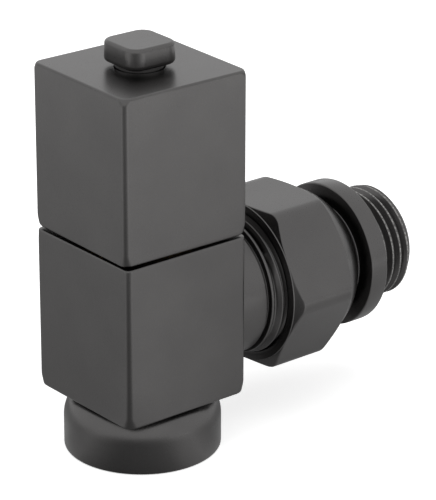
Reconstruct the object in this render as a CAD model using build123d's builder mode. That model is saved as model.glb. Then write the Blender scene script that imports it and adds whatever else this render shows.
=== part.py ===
from build123d import *
from math import cos, radians, sin, sqrt, tan
import os

# Angled radiator valve with a square body and a square handwheel, in millimetres.
# The origin is the centre of the body's underside, on the pipe's axis.
# +Z runs up the spindle and +X runs out of the outlet, towards the radiator.

# Square blocks
body_side = 26.2
body_height = 30.0
body_corner_radius = 0.95
body_bottom_radius = 0.9
body_top_radius = 0.3
handwheel_side = 26.4
handwheel_height = 30.2
handwheel_gap = 0.4
handwheel_corner_radius = 0.95
handwheel_top_radius = 0.35
handwheel_bottom_radius = 0.7
handwheel_wall = 2.0
handwheel_roof = 3.0
handwheel_cavity_corner = 1.5
handwheel_turn = -1.2

# Cap on the handwheel
knob_side = 10.2
knob_corner_radius = 2.5
knob_height = 3.94
knob_lift = 0.72
knob_top_radius = 0.6
knob_bottom_radius = 0.9
knob_stem_radius = 4.3
knob_stem_depth = 2.1
knob_socket_depth = 4.6
knob_ring_section = 0.45
knob_ring_depth = 1.05

# Standard parallel pipe threads
pipe_thread_pitch = 1.814
half_inch_radius = 10.4775
three_quarter_inch_radius = 13.2205
thread_depth = 1.1
thread_crest = 0.34
thread_root = 0.3

# Clearances, all radial or along the axis from face to face
thread_clearance = 0.1
running_clearance = 0.1
fitted_clearance = 0.05
pipe_clearance = 0.1

# Outlet: spigot, union nut and tailpiece, along +X
outlet_height = 14.8
outlet_waterway_radius = 7.0
spigot_neck_radius = 12.3
spigot_neck_length = 5.7
spigot_relief_length = 0.8
spigot_relief_depth = 1.0
spigot_thread_length = 10.2
spigot_exposed_thread = 2.8
spigot_end_chamfer = 0.8
union_nut_flats = 30.0
union_nut_length = 19.1
union_nut_turn = 0.6
union_nut_edge_radius = 2.4
union_nut_face_radius = 14.0
union_nut_face_step = 0.4
union_nut_face_angle = 24.0
union_nut_end_angle = 32.0
union_nut_dome_length = 5.4
union_nut_dome_radius = 14.7
union_nut_dome_bulge = 0.45
union_nut_rim_radius = 11.0
union_nut_neck_clearance = 0.3
retaining_ring_thickness = 1.8
retaining_ring_radius = 11.9
retaining_ring_depth = 1.0
retaining_ring_space = 0.25
retaining_ring_mouth = 40.0
nose_radius = 9.6
nose_length = 7.8
nose_end_space = 0.4
nose_seal_section = 0.87
nose_seal_station = 3.7
tail_neck_radius = 10.0
tail_flange_gap = 1.2
tail_flange_radius = 13.55
tail_flange_thickness = 3.8
tail_flange_near_chamfer = 0.3
tail_flange_far_chamfer = 0.4
tail_thread_length = 9.6
tail_end_chamfer = 0.9
tail_bore_radius = 6.0
tail_key_flats = 12.7
tail_key_depth = 10.0
radiator_seal_section = 0.75
radiator_seal_groove_depth = 1.15

# Inlet: spigot, olive and round nut, down from the body's underside
pipe_radius = 7.5
pipe_stop_height = 5.0
inlet_spigot_length = 6.15
inlet_relief_length = 1.0
inlet_nut_radius = 14.1
inlet_nut_drop = 10.45
inlet_nut_top_gap = 0.25
inlet_nut_shoulder_height = 4.6
inlet_nut_top_land = 0.15
inlet_nut_bottom_radius = 0.5
inlet_nut_floor = 1.55
spanner_hole_radius = 1.1
spanner_hole_depth = 2.5
olive_height = 5.0
olive_band = 0.8
olive_radius = 9.0
olive_end_wall = 0.35

# Headwork: seat, plunger, spindle and bonnet, up from the body's underside
seat_height = 8.9
seat_bore_radius = 5.5
seat_lip_width = 1.5
seat_lip_height = 1.2
seat_washer_radius = 6.6
seat_washer_thickness = 3.3
seat_washer_recess = 1.6
plunger_disc_thickness = 3.2
plunger_disc_wall = 0.7
plunger_flats = 11.0
plunger_floor = 0.8
spindle_lead = 1.5
spindle_turns_to_open = 3.0
spindle_thread_radius = 3.5
spindle_thread_depth = 0.6
spindle_end_space = 0.2
spindle_collar_thickness = 2.1
spindle_radius = 4.0
spindle_square = 5.6
spindle_shoulder_space = 0.5
spindle_ring_section = 0.58
spindle_ring_spacing = 4.0
thrust_washer_thickness = 0.7
plunger_collar_space = 1.3
plunger_bonnet_space = 0.5
bonnet_thread_radius = 9.0
bonnet_skirt_radius = 8.0
bonnet_thread_length = 8.0
bonnet_flange_thickness = 1.3
bonnet_flange_space = 0.3
bonnet_hex_height = 5.0
bonnet_shoulder_height = 4.8
bonnet_tube_radius = 7.0
bonnet_tube_length = 10.9
bonnet_seal_section = 0.68
circlip_thickness = 0.9
circlip_radius = 6.0
circlip_depth = 0.75
circlip_mouth = 70.0

# Screws
washer_screw_radius = 1.95
washer_screw_head_radius = 3.4
washer_screw_head_height = 1.8
washer_screw_grip = 2.8
handwheel_screw_radius = 1.95
handwheel_screw_head_radius = 3.6
handwheel_screw_head_height = 2.3
handwheel_screw_grip = 6.5
handwheel_screw_key_flats = 3.0
handwheel_web = 2.5
handwheel_boss_radius = 6.5
handwheel_boss_space = 0.8
screw_slot_width = 0.9
screw_slot_depth = 0.8

# Stations along the outlet
body_half = body_side / 2
spigot_neck_end = body_half + spigot_neck_length
spigot_thread_start = spigot_neck_end + spigot_relief_length
spigot_end = spigot_thread_start + spigot_thread_length
union_nut_near = spigot_thread_start + spigot_exposed_thread
union_nut_far = union_nut_near + union_nut_length
union_nut_corner_radius = union_nut_flats / sqrt(3)
ring_near = spigot_end + retaining_ring_space
ring_far = ring_near + retaining_ring_thickness
union_nut_lip = ring_far + retaining_ring_space
ring_groove_near = ring_near - fitted_clearance
ring_groove_far = ring_far + fitted_clearance
ring_groove_radius = nose_radius - retaining_ring_depth
nose_start = ring_groove_near - nose_length
nose_socket_radius = nose_radius + running_clearance
nose_socket_floor = nose_start - nose_end_space
flange_near = union_nut_far + tail_flange_gap
flange_far = flange_near + tail_flange_thickness
tail_end = flange_far + tail_thread_length
tail_thread_start = flange_far + 2 * radiator_seal_section + fitted_clearance

# Stations down the inlet
pipe_socket_radius = pipe_radius + pipe_clearance
olive_taper = (olive_height - olive_band) / 2
olive_end_radius = pipe_socket_radius + olive_end_wall
olive_slope = (olive_radius - olive_end_radius) / olive_taper
inlet_floor = inlet_nut_drop - inlet_nut_floor
olive_bottom = inlet_floor - fitted_clearance
olive_top = olive_bottom - olive_height
olive_band_top = olive_top + olive_taper
olive_band_bottom = olive_bottom - olive_taper
mouth_radius = olive_end_radius + olive_slope * (inlet_spigot_length - olive_top) + running_clearance
mouth_depth = (mouth_radius - pipe_socket_radius) / olive_slope
inlet_bore_radius = half_inch_radius + thread_clearance

# Stations up the spindle
plunger_travel = spindle_lead * spindle_turns_to_open
disc_bottom = seat_height + seat_washer_thickness - seat_washer_recess
disc_top = disc_bottom + plunger_disc_thickness
bonnet_bottom = disc_top + plunger_travel + plunger_bonnet_space
bonnet_shoulder = body_height + bonnet_shoulder_height
bonnet_top = bonnet_shoulder + bonnet_tube_length
bonnet_hex_bottom = body_height + bonnet_flange_thickness
collar_top = bonnet_shoulder - thrust_washer_thickness
collar_bottom = collar_top - spindle_collar_thickness
plunger_top = collar_bottom - plunger_collar_space - plunger_travel
washer_screw_top = disc_bottom + seat_washer_recess + washer_screw_grip
plunger_bore_floor = washer_screw_top + fitted_clearance + plunger_floor
spindle_bottom = plunger_bore_floor + plunger_travel + spindle_end_space
circlip_bottom = bonnet_top + fitted_clearance
circlip_top = circlip_bottom + circlip_thickness
square_bottom = circlip_top + spindle_shoulder_space
handwheel_bottom = body_height + handwheel_gap
handwheel_top = handwheel_bottom + handwheel_height
knob_socket_floor = handwheel_top - knob_socket_depth
spindle_top = knob_socket_floor - handwheel_web
knob_bottom = handwheel_top + knob_lift
knob_stem_bottom = handwheel_top - knob_stem_depth
handwheel_screw_bottom = spindle_top - handwheel_screw_grip

# Radii and widths that follow from their mates
cavity_side = handwheel_side - 2 * handwheel_wall
cavity_top = handwheel_top - handwheel_roof
bonnet_flange_radius = cavity_side / 2 - bonnet_flange_space
bonnet_bore_radius = bonnet_thread_radius + fitted_clearance
bonnet_seal_seat_radius = bonnet_thread_radius + 2 * (bonnet_seal_section + fitted_clearance)
guide_flats = plunger_flats + 2 * running_clearance
collar_radius = plunger_flats / 2 - running_clearance
gland_radius = spindle_radius + running_clearance
spindle_groove_radius = gland_radius - 2 * spindle_ring_section - fitted_clearance
circlip_groove_radius = spindle_radius - circlip_depth
plunger_bore_radius = spindle_thread_radius + thread_clearance
seat_lip_radius = seat_bore_radius + seat_lip_width
disc_radius = seat_washer_radius + fitted_clearance + plunger_disc_wall
chamber_floor = seat_height - seat_lip_height
knob_socket_radius = knob_stem_radius + running_clearance
knob_groove_radius = knob_socket_radius - 2 * knob_ring_section - fitted_clearance
knob_ring_station = knob_stem_bottom + knob_ring_depth
boss_bottom = square_bottom + handwheel_boss_space
washer_screw_hole = washer_screw_radius + fitted_clearance
handwheel_screw_hole = handwheel_screw_radius + fitted_clearance

# Turned profiles are drawn as (station along the axis, radius) on one of these planes
spindle_plane = Plane(origin=(0, 0, 0), x_dir=(0, 0, 1), z_dir=(0, 1, 0))
inlet_plane = Plane(origin=(0, 0, 0), x_dir=(0, 0, -1), z_dir=(0, -1, 0))
outlet_plane = Plane(origin=(0, 0, outlet_height), x_dir=(1, 0, 0), z_dir=(0, -1, 0))
outlet_axis = Axis((0, 0, outlet_height), (1, 0, 0))


def outlet_section(station):
    """The plane across the outlet at this station, with Y to its right and Z up."""
    return Plane(origin=(station, 0, outlet_height), x_dir=(0, 1, 0), z_dir=(1, 0, 0))


def handwheel_section(height):
    """The level plane at this height, turned with the handwheel."""
    angle = radians(handwheel_turn)
    return Plane(origin=(0, 0, height), x_dir=(cos(angle), sin(angle), 0), z_dir=(0, 0, 1))


def turned(plane, *points):
    """The outline of a turned piece, closed from its last point to its first."""
    with BuildSketch(plane) as profile:
        with BuildLine():
            Polyline(*points, close=True)
        make_face()
    return profile.sketch


def ring_section(plane, station, radius, section):
    """The round section of an O-ring."""
    with BuildSketch(plane) as profile:
        with Locations((station, radius)):
            Circle(section)
    return profile.sketch


def thread_grooves(plane, start, end, radius, pitch, depth):
    """The grooves of a male thread, drawn as rings at its pitch."""
    grooves = int((end - start) / pitch)
    mouth = (pitch - thread_crest) / 2
    with BuildSketch(plane) as profile:
        for number in range(grooves):
            middle = start + pitch * (number + 0.5)
            with BuildLine():
                Polyline(
                    (middle - mouth, radius),
                    (middle - thread_root / 2, radius - depth),
                    (middle + thread_root / 2, radius - depth),
                    (middle + mouth, radius),
                    close=True,
                )
            make_face()
    return profile.sketch


# Valve body: square block, outlet spigot, inlet spigot and the bores inside
with BuildPart() as valve_body:
    with BuildSketch():
        RectangleRounded(body_side, body_side, body_corner_radius)
    extrude(amount=body_height)
    fillet(valve_body.faces().sort_by(Axis.Z)[0].edges(), body_bottom_radius)
    fillet(valve_body.faces().sort_by(Axis.Z)[-1].edges(), body_top_radius)
    spigot_relief_radius = spigot_neck_radius - spigot_relief_depth
    revolve(
        turned(
            outlet_plane,
            (0, 0),
            (0, spigot_neck_radius),
            (spigot_neck_end, spigot_neck_radius),
            (spigot_neck_end, spigot_relief_radius),
            (spigot_thread_start, spigot_relief_radius),
            (spigot_thread_start, three_quarter_inch_radius),
            (spigot_end - spigot_end_chamfer, three_quarter_inch_radius),
            (spigot_end, three_quarter_inch_radius - spigot_end_chamfer),
            (spigot_end, 0),
        ),
        axis=outlet_axis,
    )
    inlet_relief_radius = half_inch_radius - thread_depth
    revolve(
        turned(
            inlet_plane,
            (-pipe_stop_height, 0),
            (-pipe_stop_height, inlet_relief_radius),
            (inlet_relief_length, inlet_relief_radius),
            (inlet_relief_length, half_inch_radius),
            (inlet_spigot_length, half_inch_radius),
            (inlet_spigot_length, 0),
        ),
        axis=Axis.Z,
    )
    revolve(
        thread_grooves(
            outlet_plane,
            spigot_thread_start,
            spigot_end - spigot_end_chamfer,
            three_quarter_inch_radius,
            pipe_thread_pitch,
            thread_depth,
        ),
        axis=outlet_axis,
        mode=Mode.SUBTRACT,
    )
    revolve(
        thread_grooves(
            inlet_plane,
            inlet_relief_length,
            inlet_spigot_length,
            half_inch_radius,
            pipe_thread_pitch,
            thread_depth,
        ),
        axis=Axis.Z,
        mode=Mode.SUBTRACT,
    )
    revolve(
        turned(
            spindle_plane,
            (chamber_floor, 0),
            (chamber_floor, bonnet_bore_radius),
            (body_height - 2 * bonnet_seal_section, bonnet_bore_radius),
            (body_height - 2 * bonnet_seal_section, bonnet_seal_seat_radius),
            (body_height, bonnet_seal_seat_radius),
            (body_height, 0),
        ),
        axis=Axis.Z,
        mode=Mode.SUBTRACT,
    )
    revolve(
        turned(
            outlet_plane,
            (0, 0),
            (0, outlet_waterway_radius),
            (nose_socket_floor, outlet_waterway_radius),
            (nose_socket_floor, nose_socket_radius),
            (spigot_end, nose_socket_radius),
            (spigot_end, 0),
        ),
        axis=outlet_axis,
        mode=Mode.SUBTRACT,
    )
    revolve(
        turned(
            spindle_plane,
            (chamber_floor, seat_bore_radius),
            (chamber_floor, seat_lip_radius),
            (seat_height, seat_lip_radius),
            (seat_height, seat_bore_radius),
        ),
        axis=Axis.Z,
    )
    revolve(
        turned(
            inlet_plane,
            (-chamber_floor, 0),
            (-chamber_floor, seat_bore_radius),
            (-pipe_stop_height, seat_bore_radius),
            (-pipe_stop_height, pipe_socket_radius),
            (inlet_spigot_length - mouth_depth, pipe_socket_radius),
            (inlet_spigot_length, mouth_radius),
            (inlet_spigot_length, 0),
        ),
        axis=Axis.Z,
        mode=Mode.SUBTRACT,
    )

# Round nut under the body, with two blind holes for a pin spanner
with BuildPart() as inlet_nut:
    shoulder_width = inlet_nut_radius - inlet_bore_radius - inlet_nut_top_land
    shoulder_foot = inlet_nut_top_gap + inlet_nut_shoulder_height
    with BuildSketch(inlet_plane):
        with BuildLine():
            Polyline(
                (shoulder_foot, inlet_nut_radius),
                (inlet_nut_drop, inlet_nut_radius),
                (inlet_nut_drop, 0),
                (inlet_nut_top_gap, 0),
                (inlet_nut_top_gap, inlet_nut_radius - shoulder_width),
            )
            EllipticalCenterArc(
                (shoulder_foot, inlet_nut_radius - shoulder_width),
                inlet_nut_shoulder_height,
                shoulder_width,
                start_angle=90,
                arc_size=90,
            )
        make_face()
    revolve(axis=Axis.Z)
    fillet(inlet_nut.faces().sort_by(Axis.Z)[0].edges(), inlet_nut_bottom_radius)
    nut_cone_radius = olive_end_radius + running_clearance
    revolve(
        turned(
            inlet_plane,
            (0, 0),
            (0, inlet_bore_radius),
            (olive_band_bottom, inlet_bore_radius),
            (olive_band_bottom, olive_radius + running_clearance),
            (inlet_floor, nut_cone_radius - olive_slope * fitted_clearance),
            (inlet_floor, pipe_socket_radius + running_clearance),
            (inlet_nut_drop, pipe_socket_radius + running_clearance),
            (inlet_nut_drop, 0),
        ),
        axis=Axis.Z,
        mode=Mode.SUBTRACT,
    )
    with BuildSketch(Plane.XY.offset(-inlet_nut_drop)):
        with PolarLocations((inlet_bore_radius + inlet_nut_radius) / 2, 2):
            Circle(spanner_hole_radius)
    extrude(amount=spanner_hole_depth, mode=Mode.SUBTRACT)

# Olive: the ring that the nut squeezes onto the pipe
with BuildPart() as olive:
    revolve(
        turned(
            inlet_plane,
            (olive_top, pipe_socket_radius),
            (olive_top, olive_end_radius),
            (olive_band_top, olive_radius),
            (olive_band_bottom, olive_radius),
            (olive_bottom, olive_end_radius),
            (olive_bottom, pipe_socket_radius),
        ),
        axis=Axis.Z,
    )

# Union nut: a hexagon with soft edges, a stepped near face and a domed far end
with BuildPart() as union_nut:
    with BuildSketch(outlet_section(union_nut_near)) as hexagon:
        RegularPolygon(union_nut_corner_radius, 6, rotation=union_nut_turn)
        fillet(hexagon.vertices(), union_nut_edge_radius)
    extrude(amount=union_nut_length)
    flat_radius = union_nut_flats / 2
    face_foot = union_nut_near + union_nut_face_step
    face_rise = (union_nut_corner_radius - flat_radius) * tan(radians(union_nut_face_angle))
    dome_foot = union_nut_far - union_nut_dome_length
    end_rise = (union_nut_corner_radius - union_nut_dome_radius) * tan(radians(union_nut_end_angle))
    with BuildSketch(outlet_plane):
        with BuildLine():
            Polyline(
                (union_nut_far, union_nut_rim_radius),
                (union_nut_far, 0),
                (union_nut_near, 0),
                (union_nut_near, union_nut_face_radius),
                (face_foot, flat_radius),
                (face_foot + face_rise, union_nut_corner_radius),
                (dome_foot - end_rise, union_nut_corner_radius),
                (dome_foot, union_nut_dome_radius),
            )
            ThreePointArc(
                (dome_foot, union_nut_dome_radius),
                (
                    (dome_foot + union_nut_far) / 2 + union_nut_dome_bulge,
                    (union_nut_dome_radius + union_nut_rim_radius) / 2 + union_nut_dome_bulge,
                ),
                (union_nut_far, union_nut_rim_radius),
            )
        make_face()
    revolve(axis=outlet_axis, mode=Mode.INTERSECT)
    union_bore_radius = three_quarter_inch_radius + thread_clearance
    union_hole_radius = tail_neck_radius + union_nut_neck_clearance
    revolve(
        turned(
            outlet_plane,
            (union_nut_near, 0),
            (union_nut_near, union_bore_radius),
            (union_nut_lip, union_bore_radius),
            (union_nut_lip, union_hole_radius),
            (union_nut_far, union_hole_radius),
            (union_nut_far, 0),
        ),
        axis=outlet_axis,
        mode=Mode.SUBTRACT,
    )

# Tailpiece: sealed nose, neck for the nut, flange and the thread for the radiator
with BuildPart() as tailpiece:
    nose_groove_near = nose_start + nose_seal_station - nose_seal_section - fitted_clearance
    nose_groove_far = nose_start + nose_seal_station + nose_seal_section + fitted_clearance
    nose_groove_radius = nose_socket_radius - 2 * nose_seal_section - fitted_clearance
    seal_groove_radius = half_inch_radius - radiator_seal_groove_depth
    revolve(
        turned(
            outlet_plane,
            (nose_start, 0),
            (nose_start, nose_radius),
            (nose_groove_near, nose_radius),
            (nose_groove_near, nose_groove_radius),
            (nose_groove_far, nose_groove_radius),
            (nose_groove_far, nose_radius),
            (ring_groove_near, nose_radius),
            (ring_groove_near, ring_groove_radius),
            (ring_groove_far, ring_groove_radius),
            (ring_groove_far, tail_neck_radius),
            (flange_near, tail_neck_radius),
            (flange_near, tail_flange_radius - tail_flange_near_chamfer),
            (flange_near + tail_flange_near_chamfer, tail_flange_radius),
            (flange_far - tail_flange_far_chamfer, tail_flange_radius),
            (flange_far, tail_flange_radius - tail_flange_far_chamfer),
            (flange_far, seal_groove_radius),
            (tail_thread_start, seal_groove_radius),
            (tail_thread_start, half_inch_radius),
            (tail_end - tail_end_chamfer, half_inch_radius),
            (tail_end, half_inch_radius - tail_end_chamfer),
            (tail_end, 0),
        ),
        axis=outlet_axis,
    )
    revolve(
        thread_grooves(
            outlet_plane,
            tail_thread_start,
            tail_end - thread_crest,
            half_inch_radius,
            pipe_thread_pitch,
            thread_depth,
        ),
        axis=outlet_axis,
        mode=Mode.SUBTRACT,
    )
    with BuildSketch(outlet_section(nose_start)):
        Circle(tail_bore_radius)
    extrude(amount=tail_end - nose_start, mode=Mode.SUBTRACT)
    with BuildSketch(outlet_section(tail_end - tail_key_depth)):
        RegularPolygon(tail_key_flats / 2, 6, major_radius=False)
    extrude(amount=tail_key_depth, mode=Mode.SUBTRACT)

# Split ring in the tail's groove, which the union nut pulls on
with BuildPart() as tail_retaining_ring:
    with BuildSketch(outlet_section(ring_near)):
        Circle(retaining_ring_radius)
        Circle(ring_groove_radius + fitted_clearance, mode=Mode.SUBTRACT)
        with BuildLine():
            mouth_reach = 2 * retaining_ring_radius
            mouth_half = mouth_reach * tan(radians(retaining_ring_mouth / 2))
            Polyline((0, 0), (-mouth_half, -mouth_reach), (mouth_half, -mouth_reach), close=True)
        make_face(mode=Mode.SUBTRACT)
    extrude(amount=retaining_ring_thickness)

# O-rings of the tail
with BuildPart() as tail_seal:
    nose_ring_radius = nose_socket_radius - nose_seal_section - fitted_clearance / 2
    revolve(
        ring_section(
            outlet_plane, nose_start + nose_seal_station, nose_ring_radius, nose_seal_section
        ),
        axis=outlet_axis,
    )

with BuildPart() as radiator_seal:
    radiator_ring_radius = seal_groove_radius + radiator_seal_section + fitted_clearance / 2
    revolve(
        ring_section(
            outlet_plane,
            flange_far + radiator_seal_section,
            radiator_ring_radius,
            radiator_seal_section,
        ),
        axis=outlet_axis,
    )

# Bonnet: threaded skirt, flange, hexagon and the tube that carries the spindle
with BuildPart() as bonnet:
    thread_bottom = body_height - bonnet_thread_length
    revolve(
        turned(
            spindle_plane,
            (bonnet_bottom, 0),
            (bonnet_bottom, bonnet_skirt_radius),
            (thread_bottom, bonnet_skirt_radius),
            (thread_bottom, bonnet_thread_radius),
            (body_height, bonnet_thread_radius),
            (body_height, bonnet_flange_radius),
            (bonnet_hex_bottom, bonnet_flange_radius),
            (bonnet_hex_bottom, bonnet_tube_radius),
            (bonnet_top, bonnet_tube_radius),
            (bonnet_top, 0),
        ),
        axis=Axis.Z,
    )
    with BuildSketch(Plane.XY.offset(bonnet_hex_bottom)):
        RegularPolygon(bonnet_flange_radius, 6)
    extrude(amount=bonnet_hex_height)
    with BuildSketch(Plane.XY.offset(bonnet_bottom)):
        RegularPolygon(guide_flats / 2, 6, major_radius=False)
    extrude(amount=collar_bottom - bonnet_bottom, mode=Mode.SUBTRACT)
    revolve(
        turned(
            spindle_plane,
            (collar_bottom, 0),
            (collar_bottom, guide_flats / 2),
            (bonnet_shoulder, guide_flats / 2),
            (bonnet_shoulder, gland_radius),
            (bonnet_top, gland_radius),
            (bonnet_top, 0),
        ),
        axis=Axis.Z,
        mode=Mode.SUBTRACT,
    )

with BuildPart() as bonnet_seal:
    revolve(
        ring_section(
            spindle_plane,
            body_height - bonnet_seal_section,
            bonnet_thread_radius + bonnet_seal_section + fitted_clearance,
            bonnet_seal_section,
        ),
        axis=Axis.Z,
    )

# Spindle: lead thread, thrust collar, sealed shaft and the square for the handwheel
upper_ring = bonnet_top - spindle_ring_spacing
lower_ring = upper_ring - spindle_ring_spacing
with BuildPart() as spindle:
    groove_half = spindle_ring_section + fitted_clearance
    revolve(
        turned(
            spindle_plane,
            (spindle_bottom, 0),
            (spindle_bottom, spindle_thread_radius),
            (collar_bottom, spindle_thread_radius),
            (collar_bottom, collar_radius),
            (collar_top, collar_radius),
            (collar_top, spindle_radius),
            (lower_ring - groove_half, spindle_radius),
            (lower_ring - groove_half, spindle_groove_radius),
            (lower_ring + groove_half, spindle_groove_radius),
            (lower_ring + groove_half, spindle_radius),
            (upper_ring - groove_half, spindle_radius),
            (upper_ring - groove_half, spindle_groove_radius),
            (upper_ring + groove_half, spindle_groove_radius),
            (upper_ring + groove_half, spindle_radius),
            (circlip_bottom - fitted_clearance, spindle_radius),
            (circlip_bottom - fitted_clearance, circlip_groove_radius),
            (circlip_top + fitted_clearance, circlip_groove_radius),
            (circlip_top + fitted_clearance, spindle_radius),
            (square_bottom, spindle_radius),
            (square_bottom, 0),
        ),
        axis=Axis.Z,
    )
    revolve(
        thread_grooves(
            spindle_plane,
            spindle_bottom,
            collar_bottom,
            spindle_thread_radius,
            spindle_lead,
            spindle_thread_depth,
        ),
        axis=Axis.Z,
        mode=Mode.SUBTRACT,
    )
    with BuildSketch(handwheel_section(square_bottom)):
        Rectangle(spindle_square, spindle_square)
    extrude(amount=spindle_top - square_bottom)
    with BuildSketch(handwheel_section(handwheel_screw_bottom - fitted_clearance)):
        Circle(handwheel_screw_hole)
    extrude(amount=handwheel_screw_grip + fitted_clearance, mode=Mode.SUBTRACT)

with BuildPart() as spindle_o_rings:
    for station in (lower_ring, upper_ring):
        revolve(
            ring_section(
                spindle_plane,
                station,
                spindle_groove_radius + spindle_ring_section + fitted_clearance / 2,
                spindle_ring_section,
            ),
            axis=Axis.Z,
        )

with BuildPart() as thrust_washer:
    with BuildSketch(Plane.XY.offset(collar_top)):
        Circle(collar_radius)
        Circle(spindle_radius + fitted_clearance, mode=Mode.SUBTRACT)
    extrude(amount=thrust_washer_thickness)

with BuildPart() as spindle_circlip:
    with BuildSketch(Plane.XY.offset(circlip_bottom)):
        Circle(circlip_radius)
        Circle(circlip_groove_radius + fitted_clearance, mode=Mode.SUBTRACT)
        with BuildLine():
            clip_reach = 2 * circlip_radius
            clip_half = clip_reach * tan(radians(circlip_mouth / 2))
            Polyline((0, 0), (clip_reach, -clip_half), (clip_reach, clip_half), close=True)
        make_face(mode=Mode.SUBTRACT)
    extrude(amount=circlip_thickness)

# Plunger: hexagon stem that can't turn, and the cup for the rubber washer
with BuildPart() as plunger:
    with BuildSketch(Plane.XY.offset(disc_bottom)):
        Circle(disc_radius)
    extrude(amount=plunger_disc_thickness)
    with BuildSketch(Plane.XY.offset(disc_top)):
        RegularPolygon(plunger_flats / 2, 6, major_radius=False)
    extrude(amount=plunger_top - disc_top)
    revolve(
        turned(
            spindle_plane,
            (disc_bottom, 0),
            (disc_bottom, seat_washer_radius + fitted_clearance),
            (disc_bottom + seat_washer_recess, seat_washer_radius + fitted_clearance),
            (disc_bottom + seat_washer_recess, washer_screw_hole),
            (washer_screw_top + fitted_clearance, washer_screw_hole),
            (washer_screw_top + fitted_clearance, 0),
        ),
        axis=Axis.Z,
        mode=Mode.SUBTRACT,
    )
    with BuildSketch(Plane.XY.offset(plunger_bore_floor)):
        Circle(plunger_bore_radius)
    extrude(amount=plunger_top - plunger_bore_floor, mode=Mode.SUBTRACT)

with BuildPart() as seat_washer:
    with BuildSketch(Plane.XY.offset(seat_height)):
        Circle(seat_washer_radius)
        Circle(washer_screw_hole, mode=Mode.SUBTRACT)
    extrude(amount=seat_washer_thickness)

with BuildPart() as washer_screw:
    with BuildSketch(Plane.XY.offset(seat_height - washer_screw_head_height)):
        Circle(washer_screw_head_radius)
    extrude(amount=washer_screw_head_height)
    with BuildSketch(Plane.XY.offset(seat_height)):
        Circle(washer_screw_radius)
    extrude(amount=washer_screw_top - seat_height)
    with BuildSketch(Plane.XY.offset(seat_height - washer_screw_head_height)):
        Rectangle(2 * washer_screw_head_radius, screw_slot_width)
    extrude(amount=screw_slot_depth, mode=Mode.SUBTRACT)

# Handwheel: square shell with a boss on the spindle's square and a recess for the cap
with BuildPart() as handwheel:
    with BuildSketch(handwheel_section(handwheel_bottom)):
        RectangleRounded(handwheel_side, handwheel_side, handwheel_corner_radius)
    extrude(amount=handwheel_height)
    fillet(handwheel.faces().sort_by(Axis.Z)[0].edges(), handwheel_bottom_radius)
    fillet(handwheel.faces().sort_by(Axis.Z)[-1].edges(), handwheel_top_radius)
    with BuildSketch(handwheel_section(handwheel_bottom)):
        RectangleRounded(cavity_side, cavity_side, handwheel_cavity_corner)
    extrude(amount=cavity_top - handwheel_bottom, mode=Mode.SUBTRACT)
    with BuildSketch(handwheel_section(boss_bottom)):
        Circle(handwheel_boss_radius)
    extrude(amount=cavity_top - boss_bottom)
    with BuildSketch(handwheel_section(boss_bottom)):
        socket_side = spindle_square + 2 * fitted_clearance
        Rectangle(socket_side, socket_side)
    extrude(amount=spindle_top - boss_bottom, mode=Mode.SUBTRACT)
    revolve(
        turned(
            spindle_plane,
            (spindle_top, 0),
            (spindle_top, handwheel_screw_hole),
            (knob_socket_floor, handwheel_screw_hole),
            (knob_socket_floor, knob_socket_radius),
            (handwheel_top, knob_socket_radius),
            (handwheel_top, 0),
        ),
        axis=Axis.Z,
        mode=Mode.SUBTRACT,
    )

with BuildPart() as handwheel_screw:
    with BuildSketch(handwheel_section(handwheel_screw_bottom)):
        Circle(handwheel_screw_radius)
    extrude(amount=knob_socket_floor - handwheel_screw_bottom)
    with BuildSketch(handwheel_section(knob_socket_floor)):
        Circle(handwheel_screw_head_radius)
    extrude(amount=handwheel_screw_head_height)
    with BuildSketch(handwheel_section(knob_socket_floor + handwheel_screw_head_height / 3)):
        RegularPolygon(handwheel_screw_key_flats / 2, 6, major_radius=False)
    extrude(amount=handwheel_screw_head_height, mode=Mode.SUBTRACT)

# Cap: a rounded square on a round stem, pushed into the handwheel's recess
with BuildPart() as top_knob:
    with BuildSketch(handwheel_section(knob_bottom)):
        RectangleRounded(knob_side, knob_side, knob_corner_radius)
    extrude(amount=knob_height)
    fillet(top_knob.faces().sort_by(Axis.Z)[-1].edges(), knob_top_radius)
    fillet(top_knob.faces().sort_by(Axis.Z)[0].edges(), knob_bottom_radius)
    revolve(
        turned(
            spindle_plane,
            (knob_stem_bottom, 0),
            (knob_stem_bottom, knob_stem_radius),
            (knob_ring_station - knob_ring_section - fitted_clearance, knob_stem_radius),
            (knob_ring_station - knob_ring_section - fitted_clearance, knob_groove_radius),
            (knob_ring_station + knob_ring_section + fitted_clearance, knob_groove_radius),
            (knob_ring_station + knob_ring_section + fitted_clearance, knob_stem_radius),
            (knob_bottom, knob_stem_radius),
            (knob_bottom, 0),
        ),
        axis=Axis.Z,
    )

with BuildPart() as knob_grip_ring:
    revolve(
        ring_section(
            spindle_plane,
            knob_ring_station,
            knob_groove_radius + knob_ring_section + fitted_clearance / 2,
            knob_ring_section,
        ),
        axis=Axis.Z,
    )

pieces = {
    "valve_body": valve_body,
    "inlet_nut": inlet_nut,
    "olive": olive,
    "union_nut": union_nut,
    "tailpiece": tailpiece,
    "tail_retaining_ring": tail_retaining_ring,
    "tail_seal": tail_seal,
    "radiator_seal": radiator_seal,
    "bonnet": bonnet,
    "bonnet_seal": bonnet_seal,
    "spindle": spindle,
    "spindle_o_rings": spindle_o_rings,
    "thrust_washer": thrust_washer,
    "spindle_circlip": spindle_circlip,
    "plunger": plunger,
    "seat_washer": seat_washer,
    "washer_screw": washer_screw,
    "handwheel": handwheel,
    "handwheel_screw": handwheel_screw,
    "top_knob": top_knob,
    "knob_grip_ring": knob_grip_ring,
}
os.makedirs("parts", exist_ok=True)
for label, piece in pieces.items():
    piece.part.label = label
    export_step(piece.part, f"parts/{label}.step")
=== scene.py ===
from math import atan2, cos, pi, radians, sin, sqrt, tan

import bmesh
import bpy
from mathutils import Matrix, Vector


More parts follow.
